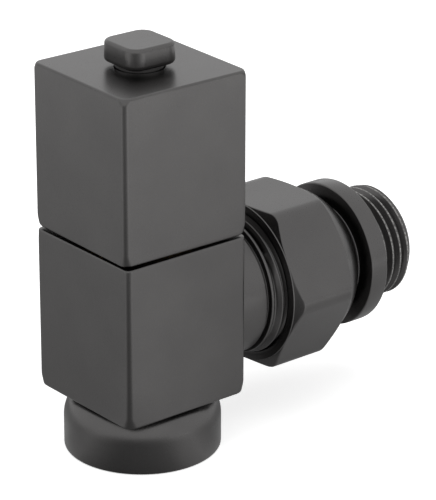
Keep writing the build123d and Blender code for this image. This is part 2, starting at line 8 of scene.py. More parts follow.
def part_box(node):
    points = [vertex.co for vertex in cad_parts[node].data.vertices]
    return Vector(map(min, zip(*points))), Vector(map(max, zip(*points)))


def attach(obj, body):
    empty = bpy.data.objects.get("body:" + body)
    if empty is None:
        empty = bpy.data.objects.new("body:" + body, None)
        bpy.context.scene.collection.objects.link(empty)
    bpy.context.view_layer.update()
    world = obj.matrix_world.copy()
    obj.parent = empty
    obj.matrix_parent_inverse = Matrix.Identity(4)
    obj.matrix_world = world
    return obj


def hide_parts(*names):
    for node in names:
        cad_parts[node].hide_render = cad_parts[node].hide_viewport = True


# Square angled radiator valve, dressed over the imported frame.
# Meshes are drawn in millimetres, in the frame's own axes, and stored in metres.
MM = 0.001
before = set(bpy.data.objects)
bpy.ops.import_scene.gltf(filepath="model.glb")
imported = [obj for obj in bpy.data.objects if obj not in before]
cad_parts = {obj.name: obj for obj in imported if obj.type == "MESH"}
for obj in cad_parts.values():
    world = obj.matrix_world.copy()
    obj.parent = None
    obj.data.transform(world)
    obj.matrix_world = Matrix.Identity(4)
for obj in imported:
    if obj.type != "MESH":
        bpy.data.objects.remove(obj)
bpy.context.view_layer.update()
scene = bpy.context.scene


def box_mm(node):
    """Lowest and highest corner of a CAD node, in millimetres."""
    low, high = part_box(node)
    return Vector(low) / MM, Vector(high) / MM


body_low, body_high = box_mm("valve_body")
wheel_low, wheel_high = box_mm("handwheel")
knob_low, knob_high = box_mm("top_knob")
union_low, union_high = box_mm("union_nut")
tail_low, tail_high = box_mm("tailpiece")
inlet_low, inlet_high = box_mm("inlet_nut")
clip_low, clip_high = box_mm("tail_retaining_ring")
nose_ring_low, nose_ring_high = box_mm("tail_seal")
end_ring_low, end_ring_high = box_mm("radiator_seal")
grip_low, grip_high = box_mm("knob_grip_ring")
bonnet_ring_low, bonnet_ring_high = box_mm("bonnet_seal")
olive_low, olive_high = box_mm("olive")
spindle_top = box_mm("spindle")[1].z
circlip_top = box_mm("spindle_circlip")[1].z
seat_height = box_mm("seat_washer")[0].z

# Sizes that the frame gives
block_half = -body_low.x
outlet_height = (tail_low.z + tail_high.z) / 2
spigot_end = body_high.x
flange_radius = (tail_high.z - tail_low.z) / 2
inlet_nut_radius = inlet_high.x
inlet_nut_top = inlet_high.z
inlet_nut_bottom = inlet_low.z

# Pipe threads: pitch, depth and the crest's radius for two sizes
pipe_pitch = 1.814
pipe_depth = 1.12
half_inch = 10.4775
three_quarter_inch = 13.2205

# Clearances, and the small bevel on edges
fitted = 0.05
thread_clearance = 0.1
edge_break = 0.15

# How a square block's ends are drawn
edge_steps = 6
growth_shares = (0.15, 0.3, 0.45, 0.6, 0.8, 1.0)
corner_follow = 0.5
least_corner = 0.2

# Lines of one turn of a pipe thread with its 55 degree flanks: share of the pitch, share of the depth
thread_lines = (
    (0.0, 1.0), (0.047, 0.987), (0.092, 0.945), (0.122, 0.885),
    (0.378, 0.115), (0.408, 0.055), (0.453, 0.013), (0.5, 0.0),
    (0.547, 0.013), (0.592, 0.055), (0.622, 0.115),
    (0.878, 0.885), (0.908, 0.945), (0.953, 0.987),
)
crest_share = 0.98
notch_cycle = 5
notched_steps = (2, 3)

# Points closer than this become one, in millimetres
weld = 0.0004


def about_outlet(station, radius, angle):
    """A point round the outlet's axis, from its station along +X."""
    return Vector((station, radius * cos(angle), outlet_height + radius * sin(angle)))


def about_spindle(height, radius, angle):
    """A point round the spindle's axis, from its height."""
    return Vector((radius * cos(angle), radius * sin(angle), height))


def below_body(depth, radius, angle):
    """A point round the inlet's axis, from its depth under the body."""
    return about_spindle(-depth, radius, -angle)


def circle_angles(count):
    """Angles of a full turn."""
    return [2 * pi * number / count for number in range(count)]


def smooth_step(value):
    """From 0 to 1, level at both ends."""
    value = min(max(value, 0.0), 1.0)
    return value * value * (3 - 2 * value)


def bend(first, corner, last, steps):
    """Points of a rounded corner, from first to last."""
    points = []
    for number in range(steps + 1):
        t = number / steps
        points.append(first * (1 - t) ** 2 + corner * (2 * t * (1 - t)) + last * t ** 2)
    return points


def soften(corners, steps=4, most=0.45):
    """A profile of (station, radius, rounding) corners as points, with its inner corners rounded.

    A rounding takes no more than a share, most, of the lines beside it.
    """
    spots = [Vector((station, radius)) for station, radius, rounding in corners]
    points = []
    for number, (station, radius, rounding) in enumerate(corners):
        spot = spots[number]
        inner = 0 < number < len(corners) - 1
        if rounding == 0 or not inner:
            points.append(spot)
            continue
        before = spots[number - 1] - spot
        after = spots[number + 1] - spot
        first = spot + before.normalized() * min(rounding, before.length * most)
        last = spot + after.normalized() * min(rounding, after.length * most)
        points += bend(first, spot, last, steps)
    return points


def turned_rings(points, place, angles):
    """Rings of a turned surface, one for each point of its profile."""
    return [[place(point.x, point.y, angle) for angle in angles] for point in points]


def skin(mesh, rings, closed=False, caps=()):
    """Faces from each ring to the next. A cap closes the first ring, number 0, or the last, -1."""
    rows = [[mesh.verts.new(point) for point in ring] for ring in rings]
    pairs = list(zip(rows, rows[1:]))
    if closed:
        pairs.append((rows[-1], rows[0]))
    for row, following in pairs:
        for number in range(len(row)):
            beside = (number + 1) % len(row)
            mesh.faces.new((row[number], row[beside], following[beside], following[number]))
    for cap in caps:
        mesh.faces.new(rows[cap])


def thread(mesh, place, start, end, crest, angles, turn, run_in, run_out, notch=0.0):
    """A helical pipe thread between two plain rings at its root.

    Two steps in five can take a notch in the crest. Spare laps at both ends are pressed flat
    into the start and the end.
    """
    root = crest - pipe_depth
    laps = range(-2, int((end - start) / pipe_pitch) + 3)
    columns = []
    for number, angle in enumerate(angles + [angles[0] + 2 * pi]):
        shift = (angle - turn) / (2 * pi)
        bite = notch if number % notch_cycle in notched_steps else 0.0
        column = []
        for lap in laps:
            for share, height in thread_lines:
                station = min(max(start + (lap + share + shift) * pipe_pitch, start), end)
                fade = smooth_step((station - start) / run_in) * smooth_step((end - station) / run_out)
                cut = bite if height > crest_share else 0.0
                radius = root + (pipe_depth * height - cut) * fade
                column.append(mesh.verts.new(place(station, radius, angle)))
        columns.append(column)
    for column, following in zip(columns, columns[1:]):
        for number in range(len(column) - 1):
            mesh.faces.new(
                (column[number], following[number], following[number + 1], column[number + 1])
            )


def rounded_square(half, radius, corner_steps=8, side_steps=24):
    """Points round a square with rounded corners, counter-clockwise from its right side."""
    points = []
    inner = half - radius
    for quarter in range(4):
        swing = Matrix.Rotation(quarter * pi / 2, 2)
        run = []
        for number in range(1, side_steps):
            run.append(Vector((half, inner * sin(pi * (number / side_steps - 0.5)))))
        for number in range(corner_steps + 1):
            angle = pi / 2 * number / corner_steps
            run.append(Vector((inner + radius * cos(angle), inner + radius * sin(angle))))
        points += [swing @ point for point in run]
    return points


square_angles = [atan2(point.y, point.x) for point in rounded_square(block_half, 1.0)]


def square_ring(height, half, radius, turn=0.0):
    """A level ring with a square outline."""
    swing = Matrix.Rotation(turn, 2)
    return [(swing @ point).to_3d() + Vector((0, 0, height)) for point in rounded_square(half, radius)]


def circle_ring(height, radius, turn):
    """A level round ring with as many points as a square one."""
    return [about_spindle(height, radius, angle + turn) for angle in square_angles]


def low_edge(level, rounding, steps):
    """The (height, inset) of rings round a block's lower edge, upwards."""
    levels = []
    for number in range(steps + 1):
        angle = pi / 2 * (1 - number / steps)
        levels.append((level + rounding * (1 - sin(angle)), rounding * (1 - cos(angle))))
    return levels


def high_edge(level, rounding, steps):
    """The (height, inset) of rings round a block's upper edge, upwards."""
    levels = []
    for number in range(steps + 1):
        angle = pi / 2 * number / steps
        levels.append((level - rounding * (1 - sin(angle)), rounding * (1 - cos(angle))))
    return levels


def block_rings(low, high, half, corner, low_end, high_end, turn=0.0):
    """Rings up a square block, whose corners grow rounder towards both ends.

    Each end is its edge's rounding, its corner's radius and the length of the growth.
    """
    low_rounding, low_corner, low_growth = low_end
    high_rounding, high_corner, high_growth = high_end
    levels = low_edge(low, low_rounding, edge_steps)
    for share in growth_shares:
        levels.append((low + low_rounding + (low_growth - low_rounding) * share, 0.0))
    for share in reversed(growth_shares):
        levels.append((high - high_rounding - (high_growth - high_rounding) * share, 0.0))
    levels += high_edge(high, high_rounding, edge_steps)
    rings = []
    for height, inset in levels:
        near_low = smooth_step(1 - (height - low) / low_growth)
        near_high = smooth_step(1 - (high - height) / high_growth)
        radius = corner + (low_corner - corner) * near_low + (high_corner - corner) * near_high
        radius = max(radius - inset * corner_follow, least_corner)
        rings.append(square_ring(height, half - inset, radius, turn))
    return rings


def hex_radius(angle, flat, edge):
    """Distance from the axis to a hexagon with rounded edges, at this angle from a corner."""
    from_flat = abs((angle % (pi / 3)) - pi / 6)
    tangent = atan2((flat - edge) * tan(pi / 6), flat)
    if from_flat <= tangent:
        return flat / cos(from_flat)
    centre = (flat - edge) / cos(pi / 6)
    from_corner = pi / 6 - from_flat
    return centre * cos(from_corner) + sqrt(edge ** 2 - (centre * sin(from_corner)) ** 2)


def finish_mesh(mesh, name, sharp=radians(32)):
    """A millimetre mesh as an object in the scene, smooth except across sharp edges."""
    bmesh.ops.remove_doubles(mesh, verts=mesh.verts, dist=weld)
    bmesh.ops.recalc_face_normals(mesh, faces=mesh.faces)
    for face in mesh.faces:
        face.smooth = True
    for edge in mesh.edges:
        edge.smooth = len(edge.link_faces) != 2 or edge.calc_face_angle() < sharp
    data = bpy.data.meshes.new(name)
    mesh.to_mesh(data)
    mesh.free()
    piece = bpy.data.objects.new(name, data)
    scene.collection.objects.link(piece)
    return piece


def turned_solid(name, profile, place, count):
    """A closed turned piece from the (station, radius) pairs of its profile."""
    mesh = bmesh.new()
    points = [Vector(pair) for pair in profile]
    skin(mesh, turned_rings(points, place, circle_angles(count)), caps=(0, -1))
    return finish_mesh(mesh, name)


def carve(base, name, steps):
    """The base with each (operation, tool) of the steps applied. The tools go."""
    for operation, tool in steps:
        change = base.modifiers.new(operation, "BOOLEAN")
        change.operation = operation
        change.solver = "EXACT"
        change.object = tool
    bpy.context.view_layer.update()
    result = bpy.data.meshes.new_from_object(base.evaluated_get(bpy.context.evaluated_depsgraph_get()))
    for spare in [base] + [tool for operation, tool in steps]:
        bpy.data.objects.remove(spare)
    mesh = bmesh.new()
    mesh.from_mesh(result)
    bpy.data.meshes.remove(result)
    return finish_mesh(mesh, name)


def dress(piece, node, body, material):
    """The piece in metres, riding on its body in place of its CAD node."""
    piece.data.transform(Matrix.Scale(MM, 4))
    piece.data.materials.clear()
    piece.data.materials.append(material)
    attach(piece, body)
    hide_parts(node)


# Materials. Most of a noise texture's values lie between these two
noise_low = 0.3
noise_high = 0.7
cloud_detail = 3.0
grain_detail = 2.0


def new_material(name):
    """A material with its nodes, its links and its shader."""
    material = bpy.data.materials.new(name)
    material.use_nodes = True
    nodes = material.node_tree.nodes
    return material, nodes, material.node_tree.links, nodes["Principled BSDF"]


def add_noise(nodes, links, place, scale, detail):
    """Noise in the piece's own space, at this many features a metre."""
    texture = nodes.new("ShaderNodeTexNoise")
    texture.inputs["Scale"].default_value = scale
    texture.inputs["Detail"].default_value = detail
    links.new(place.outputs["Object"], texture.inputs["Vector"])
    return texture


def add_math(nodes, links, operation, first, second):
    """The output of a sum, product or other operation on two outputs or numbers."""
    step = nodes.new("ShaderNodeMath")
    step.operation = operation
    for socket, value in zip(step.inputs, (first, second)):
        if isinstance(value, (int, float)):
            socket.default_value = value
        else:
            links.new(value, socket)
    return step.outputs[0]


def add_spread(nodes, links, value, low, high, first=0.0, last=1.0):
    """From first to last as a value goes from low to high."""
    spread = nodes.new("ShaderNodeMapRange")
    spread.inputs["From Min"].default_value = low
    spread.inputs["From Max"].default_value = high
    spread.inputs["To Min"].default_value = first
    spread.inputs["To Max"].default_value = last
    links.new(value, spread.inputs["Value"])
    return spread.outputs["Result"]


def add_colours(nodes, links, texture, dark, light, shader):
    """The shader's colour, between two near shades."""
    ramp = nodes.new("ShaderNodeValToRGB")
    ramp.color_ramp.elements[0].position = noise_low
    ramp.color_ramp.elements[0].color = (*dark, 1)
    ramp.color_ramp.elements[1].position = noise_high
    ramp.color_ramp.elements[1].color = (*light, 1)
    links.new(texture.outputs["Fac"], ramp.inputs["Fac"])
    links.new(ramp.outputs["Color"], shader.inputs["Base Color"])


def add_roughness(nodes, links, texture, roughness, shader):
    """The shader's roughness, between two values."""
    output = add_spread(nodes, links, texture.outputs["Fac"], noise_low, noise_high, *roughness)
    links.new(output, shader.inputs["Roughness"])


def add_bump(nodes, links, texture, relief, shader):
    """Relief from a texture, with its strength and its height in metres."""
    bump = nodes.new("ShaderNodeBump")
    bump.inputs["Strength"].default_value = relief[0]
    bump.inputs["Distance"].default_value = relief[1]
    links.new(texture.outputs["Fac"], bump.inputs["Height"])
    links.new(bump.outputs["Normal"], shader.inputs["Normal"])


def grained(name, dark, light, roughness, metallic, cloud, grain, relief):
    """A material with slow clouds in its colour and a fine grain in its gloss and relief."""
    material, nodes, links, shader = new_material(name)
    shader.inputs["Metallic"].default_value = metallic
    place = nodes.new("ShaderNodeTexCoord")
    clouds = add_noise(nodes, links, place, cloud, cloud_detail)
    fine = add_noise(nodes, links, place, grain, grain_detail)
    add_colours(nodes, links, clouds, dark, light, shader)
    add_roughness(nodes, links, fine, roughness, shader)
    add_bump(nodes, links, fine, relief, shader)
    return material


def lathed(name, dark, light, roughness, cloud, lines, relief, waver=0.6):
    """A turned metal with fine tool lines across the upright axis."""
    material, nodes, links, shader = new_material(name)
    shader.inputs["Metallic"].default_value = 1.0
    place = nodes.new("ShaderNodeTexCoord")
    clouds = add_noise(nodes, links, place, cloud, cloud_detail)
    bands = nodes.new("ShaderNodeTexWave")
    bands.bands_direction = "Z"
    bands.inputs["Scale"].default_value = lines
    bands.inputs["Distortion"].default_value = waver
    bands.inputs["Detail"].default_value = grain_detail
    links.new(place.outputs["Object"], bands.inputs["Vector"])
    add_colours(nodes, links, clouds, dark, light, shader)
    add_roughness(nodes, links, bands, roughness, shader)
    add_bump(nodes, links, bands, relief, shader)
    return material


def wear_crests(material, start, crest, bare, band=(0.09, 0.02), specks=2600, share=(0.35, 0.65)):
    """Bare metal in specks along the crest of a thread round the outlet, beyond a start.

    The band is where the wear starts and where it is full, in millimetres under the crest.
    """
    nodes = material.node_tree.nodes
    links = material.node_tree.links
    shader = nodes["Principled BSDF"]
    coat = shader.inputs["Base Color"].links[0].from_socket
    place = nodes.new("ShaderNodeTexCoord")
    parts = nodes.new("ShaderNodeSeparateXYZ")
    links.new(place.outputs["Object"], parts.inputs[0])
    rise = add_math(nodes, links, "SUBTRACT", parts.outputs["Z"], outlet_height * MM)
    across = add_math(nodes, links, "MULTIPLY", parts.outputs["Y"], parts.outputs["Y"])
    radius = add_math(nodes, links, "ADD", across, add_math(nodes, links, "MULTIPLY", rise, rise))
    radius = add_math(nodes, links, "POWER", radius, 0.5)
    worn = add_spread(nodes, links, radius, (crest - band[0]) * MM, (crest - band[1]) * MM)
    beyond = add_math(nodes, links, "GREATER_THAN", parts.outputs["X"], start * MM)
    worn = add_math(nodes, links, "MULTIPLY", worn, beyond)
    noise = add_noise(nodes, links, place, specks, 1.0)
    speckled = add_spread(nodes, links, noise.outputs["Fac"], *share)
    worn = add_math(nodes, links, "MULTIPLY", worn, speckled)
    mix = nodes.new("ShaderNodeMix")
    mix.data_type = "RGBA"
    links.new(worn, mix.inputs["Factor"])
    links.new(coat, mix.inputs["A"])
    mix.inputs["B"].default_value = (*bare, 1)
    links.new(mix.outputs["Result"], shader.inputs["Base Color"])


anthracite_look = {
    "dark": (0.1015, 0.0990, 0.0986),
    "light": (0.1122, 0.1095, 0.1085),
    "roughness": (0.27, 0.33),
    "metallic": 1.0,
    "cloud": 90,
    "grain": 5200,
    "relief": (0.05, 0.00003),
}
bare_metal = (0.36, 0.355, 0.345)
anthracite = grained("anthracite", **anthracite_look)
brass_upright = lathed(
    "brass_upright", dark=(0.66, 0.45, 0.19), light=(0.74, 0.53, 0.25), roughness=(0.22, 0.34),
    cloud=150, lines=900, relief=(0.15, 0.00002),
)
steel = grained(
    "steel", dark=(0.50, 0.50, 0.52), light=(0.60, 0.60, 0.61), roughness=(0.25, 0.38),
    metallic=1.0, cloud=200, grain=4000, relief=(0.06, 0.00003),
)
rubber = grained(
    "rubber", dark=(0.012, 0.012, 0.012), light=(0.020, 0.020, 0.021), roughness=(0.5, 0.65),
    metallic=0.0, cloud=300, grain=6000, relief=(0.1, 0.00004),
)
ptfe = grained(
    "ptfe", dark=(0.80, 0.80, 0.77), light=(0.86, 0.86, 0.84), roughness=(0.4, 0.5),
    metallic=0.0, cloud=200, grain=5000, relief=(0.05, 0.00003),
)

# The CAD nodes that stay get their materials
for node_name, material in {
    "olive": brass_upright,
    "bonnet": brass_upright,
    "spindle": brass_upright,
    "plunger": brass_upright,
    "tail_retaining_ring": steel,
    "spindle_circlip": steel,
    "washer_screw": steel,
    "handwheel_screw": steel,
    "thrust_washer": ptfe,
    "tail_seal": rubber,
    "radiator_seal": rubber,
    "bonnet_seal": rubber,
    "spindle_o_rings": rubber,
    "seat_washer": rubber,
    "knob_grip_ring": rubber,
}.items():
    node_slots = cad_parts[node_name].data.materials
    node_slots.clear()
    node_slots.append(material)

# Handwheel: one skin up the outside, over the top, and back down through the recess and the shell
wheel_turn = radians(-1.2)
wheel_bottom = wheel_low.z
wheel_top = wheel_high.z
wheel_half = 13.2
wheel_corner = 0.95
wheel_low_end = (0.7, 1.7, 2.4)
wheel_high_end = (0.35, 1.6, 1.2)
wheel_flat_half = wheel_half - 0.6
wheel_flat_corner = 1.4
wheel_cavity_half = wheel_half - 2.0
wheel_cavity_corner = 1.5
wheel_roof = wheel_top - 3.0
cap_recess_radius = 4.4
cap_recess_margin = 0.3
cap_recess_floor = wheel_top - 4.6
screw_hole_radius = 2.0
boss_radius = 6.5
boss_bottom = circlip_top + 1.3
socket_half = 2.85
socket_corner = 0.1


def wheel_square(height, half, corner):
    """A square ring that stands turned as the handwheel does."""
    return square_ring(height, half, corner, wheel_turn)


def wheel_circle(height, radius):
    """A round ring that stands turned as the handwheel does."""
    return circle_ring(height, radius, wheel_turn)


mesh = bmesh.new()
rings = block_rings(
    wheel_bottom, wheel_top, wheel_half, wheel_corner, wheel_low_end, wheel_high_end, wheel_turn
)
rings += [
    wheel_square(wheel_top, wheel_flat_half, wheel_flat_corner),
    wheel_circle(wheel_top, cap_recess_radius + cap_recess_margin),
    wheel_circle(wheel_top, cap_recess_radius + edge_break),
    wheel_circle(wheel_top - edge_break, cap_recess_radius),
    wheel_circle(cap_recess_floor, cap_recess_radius),
    wheel_circle(cap_recess_floor, screw_hole_radius),
    wheel_circle(spindle_top, screw_hole_radius),
    wheel_square(spindle_top, socket_half, socket_corner),
    wheel_square(boss_bottom, socket_half, socket_corner),
    wheel_circle(boss_bottom, boss_radius - edge_break),
    wheel_circle(boss_bottom + edge_break, boss_radius),
    wheel_circle(wheel_roof, boss_radius),
    wheel_square(wheel_roof, wheel_cavity_half, wheel_cavity_corner),
    wheel_square(wheel_bottom, wheel_cavity_half, wheel_cavity_corner),
]
skin(mesh, rings, closed=True)
wheel = finish_mesh(mesh, "square_handwheel")
dress(wheel, "handwheel", "handwheel", anthracite)

# Cap on the handwheel, with its stem and the groove for its grip ring
cap_top = knob_high.z
cap_bottom = wheel_top + 0.72
cap_half = 5.1
cap_taper = 0.1
cap_corner = 2.5
cap_edge_low = 0.9
cap_edge_high = 0.6
cap_edge_steps = 8
cap_margin = 0.1
stem_radius = 4.3
stem_flat_radius = stem_radius - 0.6
grip_middle = (grip_low.z + grip_high.z) / 2
grip_half = (grip_high.z - grip_low.z) / 2 + fitted
grip_groove = 3.45


def cap_ring(height, inset):
    """A ring of the cap, which narrows a little towards its top."""
    half = cap_half - cap_taper * (height - cap_bottom) / (cap_top - cap_bottom)
    return wheel_square(height, half - inset, cap_corner - inset)


mesh = bmesh.new()
rings = [
    wheel_circle(knob_low.z, stem_flat_radius),
    wheel_circle(knob_low.z, stem_radius - edge_break),
    wheel_circle(knob_low.z + edge_break, stem_radius),
    wheel_circle(grip_middle - grip_half, stem_radius),
    wheel_circle(grip_middle - grip_half, grip_groove),
    wheel_circle(grip_middle + grip_half, grip_groove),
    wheel_circle(grip_middle + grip_half, stem_radius),
    wheel_circle(cap_bottom, stem_radius),
]
cap_levels = low_edge(cap_bottom, cap_edge_low, cap_edge_steps)
cap_levels.append((cap_bottom + cap_edge_low + cap_margin, 0.0))
cap_levels.append((cap_top - cap_edge_high - cap_margin, 0.0))
cap_levels += high_edge(cap_top, cap_edge_high, cap_edge_steps)
cap_levels.append((cap_top, cap_edge_high + cap_margin))
rings += [cap_ring(height, inset) for height, inset in cap_levels]
skin(mesh, rings, caps=(0, -1))
cap = finish_mesh(mesh, "square_cap")
dress(cap, "top_knob", "handwheel", anthracite)

# Valve body: the block
body_corner = 0.95
body_low_end = (0.5, 1.8, 2.4)
body_high_end = (0.3, 1.1, 2.4)
body_flat_corner = 0.9
body_bottom_half = block_half - 1.2
body_top_half = block_half - 0.6
mesh = bmesh.new()
rings = [square_ring(0.0, body_bottom_half, body_flat_corner)]
rings += block_rings(0.0, body_high.z, block_half, body_corner, body_low_end, body_high_end)
rings.append(square_ring(body_high.z, body_top_half, body_flat_corner))
skin(mesh, rings, caps=(0, -1))
block = finish_mesh(mesh, "block")

# The outlet spigot: a neck, a turned land between two grooves, and the thread
spigot_inside = 2.0
spigot_root = three_quarter_inch - pipe_depth
spigot_neck = 12.3
spigot_neck_end = block_half + 5.7
spigot_land = 12.7
spigot_land_start = spigot_neck_end + 0.65
spigot_land_end = spigot_land_start + 0.75
spigot_groove = spigot_root - 0.4
spigot_wall = 0.1
spigot_thread_start = spigot_land_start + 1.25
spigot_thread_end = spigot_end - 0.35
spigot_angles = circle_angles(360)
mesh = bmesh.new()
skin(
    mesh,
    turned_rings(
        soften([
            (spigot_inside, spigot_neck, 0),
            (spigot_neck_end, spigot_neck, 0.25),
            (spigot_neck_end + spigot_wall, spigot_groove, 0.1),
            (spigot_land_start, spigot_groove, 0.1),
            (spigot_land_start + spigot_wall, spigot_land, 0.2),
            (spigot_land_end, spigot_land, 0.2),
            (spigot_land_end + spigot_wall, spigot_groove, 0.1),
            (spigot_thread_start - spigot_wall / 2, spigot_groove, 0.1),
            (spigot_thread_start, spigot_root, 0),
        ]),
        about_outlet,
        spigot_angles,
    ),
    caps=(0,),
)
thread(
    mesh, about_outlet, spigot_thread_start, spigot_thread_end, three_quarter_inch, spigot_angles,
    turn=radians(-3), run_in=0.1, run_out=1.0,
)
skin(
    mesh,
    turned_rings(
        soften([
            (spigot_thread_end, spigot_root, 0),
            (spigot_end, spigot_root - 0.1, 0.1),
            (spigot_end, spigot_root - 1.0, 0),
        ]),
        about_outlet,
        spigot_angles,
    ),
    caps=(-1,),
)
spigot = finish_mesh(mesh, "spigot")

# The inlet spigot under the block, with stations that count downwards
inlet_root = half_inch - pipe_depth
inlet_inside = -2.0
inlet_thread_start = 0.8
inlet_end = -body_low.z
inlet_thread_end = inlet_end - 0.3
inlet_angles = circle_angles(240)
mesh = bmesh.new()
inlet_neck = [Vector((inlet_inside, inlet_root)), Vector((inlet_thread_start, inlet_root))]
skin(mesh, turned_rings(inlet_neck, below_body, inlet_angles), caps=(0,))
thread(
    mesh, below_body, inlet_thread_start, inlet_thread_end, half_inch, inlet_angles,
    turn=0.0, run_in=0.5, run_out=0.8,
)
inlet_tip = [Vector((inlet_thread_end, inlet_root)), Vector((inlet_end, inlet_root - 0.1))]
skin(mesh, turned_rings(inlet_tip, below_body, inlet_angles), caps=(-1,))
inlet_spigot = finish_mesh(mesh, "inlet_spigot")

# The bores, which reach a little over the ends that they open
over = 1.0
bore_steps = 160
pipe_socket = 7.6
pipe_stop = 5.0
seat_bore = 5.5
seat_lip = 7.0
chamber_floor = seat_height - 1.2
bonnet_bore = 9.05
seal_seat = bonnet_ring_high.x + fitted
mouth_slope = 0.5
mouth_growth = 1.6
chamber = turned_solid(
    "chamber",
    (
        (body_low.z - over, pipe_socket + mouth_growth + mouth_slope * over),
        (body_low.z + mouth_growth / mouth_slope, pipe_socket),
        (pipe_stop, pipe_socket),
        (pipe_stop, seat_bore),
        (seat_height, seat_bore),
        (seat_height, seat_lip),
        (chamber_floor, seat_lip),
        (chamber_floor, bonnet_bore),
        (bonnet_ring_low.z, bonnet_bore),
        (bonnet_ring_low.z, seal_seat),
        (body_high.z + over, seal_seat),
    ),
    about_spindle,
    bore_steps,
)
waterway = 7.0
nose_socket = 9.7
nose_socket_floor = tail_low.x - 0.4
outlet_bore = turned_solid(
    "outlet_bore",
    (
        (0.0, waterway),
        (nose_socket_floor, waterway),
        (nose_socket_floor, nose_socket),
        (spigot_end + over, nose_socket),
    ),
    about_outlet,
    bore_steps,
)
body = carve(
    block,
    "square_body",
    [("UNION", spigot), ("UNION", inlet_spigot), ("DIFFERENCE", chamber), ("DIFFERENCE", outlet_bore)],
)
dress(body, "valve_body", "valve", anthracite)

# Union nut: hexagon with soft edges, stepped near face, chamfers and a domed end
nut_flat = 15.0
nut_edge = 3.2
nut_turn = radians(0.6)
nut_face_radius = 14.0
nut_face_foot = union_low.x + 0.4
nut_face_slope = tan(radians(24))
nut_dome_foot = union_high.x - 5.4
nut_dome_radius = 14.7
nut_dome_bulge = 0.3
nut_dome_steps = 40
nut_end_slope = tan(radians(32))
nut_rim_radius = 11.0
nut_rim_inner = nut_rim_radius - 0.15
nut_rim_flat = nut_rim_radius - 0.5
nut_rim_steps = 6
nut_hole_radius = 10.3
nut_bore_radius = three_quarter_inch + thread_clearance
nut_mouth_radius = nut_bore_radius + 0.5
nut_lip = clip_high.x + 0.25
near_crease_width = 0.25
far_crease_width = 0.1
crease_most = 0.4
crease_steps = 5
crease_margin = 0.1
crease_least = 0.0001
nut_angles = circle_angles(480)
corner_radii = [hex_radius(angle - nut_turn, nut_flat, nut_edge) for angle in nut_angles]


def nut_ring(spots):
    """A ring of the nut from its (station, radius) at each angle."""
    return [about_outlet(spot.x, spot.y, angle) for spot, angle in zip(spots, nut_angles)]


along = Vector((1, 0))
near_foot = Vector((nut_face_foot, nut_flat))
far_foot = Vector((nut_dome_foot, nut_dome_radius))
near_columns = []
far_columns = []
for corner in corner_radii:
    near_crease = Vector((nut_face_foot + (corner - nut_flat) * nut_face_slope, corner))
    near_out = near_foot - near_crease
    near_cut = min(near_crease_width, near_out.length * crease_most)
    near_start = near_crease
    if near_cut > crease_least:
        near_start = near_crease + near_out.normalized() * near_cut
    column = [near_foot.lerp(near_start, share) for share in (0.0, 0.1, 0.5, 0.9)]
    column += bend(near_start, near_crease, near_crease + along * near_crease_width, crease_steps)
    column.append(near_crease + along * (near_crease_width + crease_margin))
    near_columns.append(column)
    far_crease = Vector((nut_dome_foot - (corner - nut_dome_radius) * nut_end_slope, corner))
    far_out = far_foot - far_crease
    far_cut = min(far_crease_width, far_out.length * crease_most)
    far_end = far_crease + far_out.normalized() * far_cut
    column = [far_crease - along * (far_crease_width + crease_margin)]
    column += bend(far_crease - along * far_crease_width, far_crease, far_end, crease_steps)
    column += [far_end.lerp(far_foot, share) for share in (0.1, 0.5, 0.9)]
    far_columns.append(column)
rings = turned_rings(
    soften([
        (union_low.x, nut_mouth_radius, 0),
        (union_low.x, nut_face_radius, 0.25),
        (nut_face_foot - 0.2, nut_flat - 0.06, 0),
    ]),
    about_outlet,
    nut_angles,
)
rings += [nut_ring(spots) for spots in zip(*near_columns)]
rings += [nut_ring(spots) for spots in zip(*far_columns)]
dome_end = Vector((union_high.x, nut_rim_radius))
dome_top = (far_foot + dome_end) / 2 + Vector((nut_dome_bulge, nut_dome_bulge)) * 2
dome = bend(far_foot, dome_top, dome_end, nut_dome_steps)
rim = bend(dome[-2], dome_end, Vector((union_high.x, nut_rim_inner)), nut_rim_steps)
rings += turned_rings(dome[:-1] + rim[1:], about_outlet, nut_angles)
rings += turned_rings(
    soften([
        (union_high.x, nut_rim_flat, 0),
        (union_high.x, nut_hole_radius, 0.1),
        (nut_lip, nut_hole_radius, 0.1),
        (nut_lip, nut_bore_radius, 0.1),
        (union_low.x, nut_bore_radius, 0.4),
        (union_low.x, nut_mouth_radius, 0),
    ])[:-1],
    about_outlet,
    nut_angles,
)
mesh = bmesh.new()
skin(mesh, rings, closed=True)
union_nut = finish_mesh(mesh, "hexagon_union_nut")
dress(union_nut, "union_nut", "union_nut", anthracite)

# Tailpiece: nose, neck, flange and the notched thread, with the hexagon for its key
nose_radius = 9.6
neck_radius = 10.0
clip_groove = 8.6
clip_groove_near = clip_low.x - fitted
clip_groove_far = clip_high.x + fitted
nose_groove = 7.91
nose_ring_middle = (nose_ring_low.x + nose_ring_high.x) / 2
nose_groove_half = (nose_ring_high.x - nose_ring_low.x) / 2 + fitted
nose_groove_near = nose_ring_middle - nose_groove_half
nose_groove_far = nose_ring_middle + nose_groove_half
flange_far = end_ring_low.x
flange_near = flange_far - 3.8
end_groove = half_inch - 1.15
tail_root = half_inch - pipe_depth
tail_thread_start = end_ring_high.x + fitted
tail_thread_end = tail_high.x - 0.25
tail_bore = 6.0
key_flat = 6.35
key_edge = 0.15
key_rim = key_flat + 1.6
key_floor = tail_high.x - 10.0
notches = 76
notch_depth = 0.03
tail_angles = circle_angles(notches * notch_cycle)
key_radii = [hex_radius(angle, key_flat, key_edge) for angle in tail_angles]


def key_ring(station):
    """A ring of the hexagon socket."""
    return [about_outlet(station, radius, angle) for radius, angle in zip(key_radii, tail_angles)]


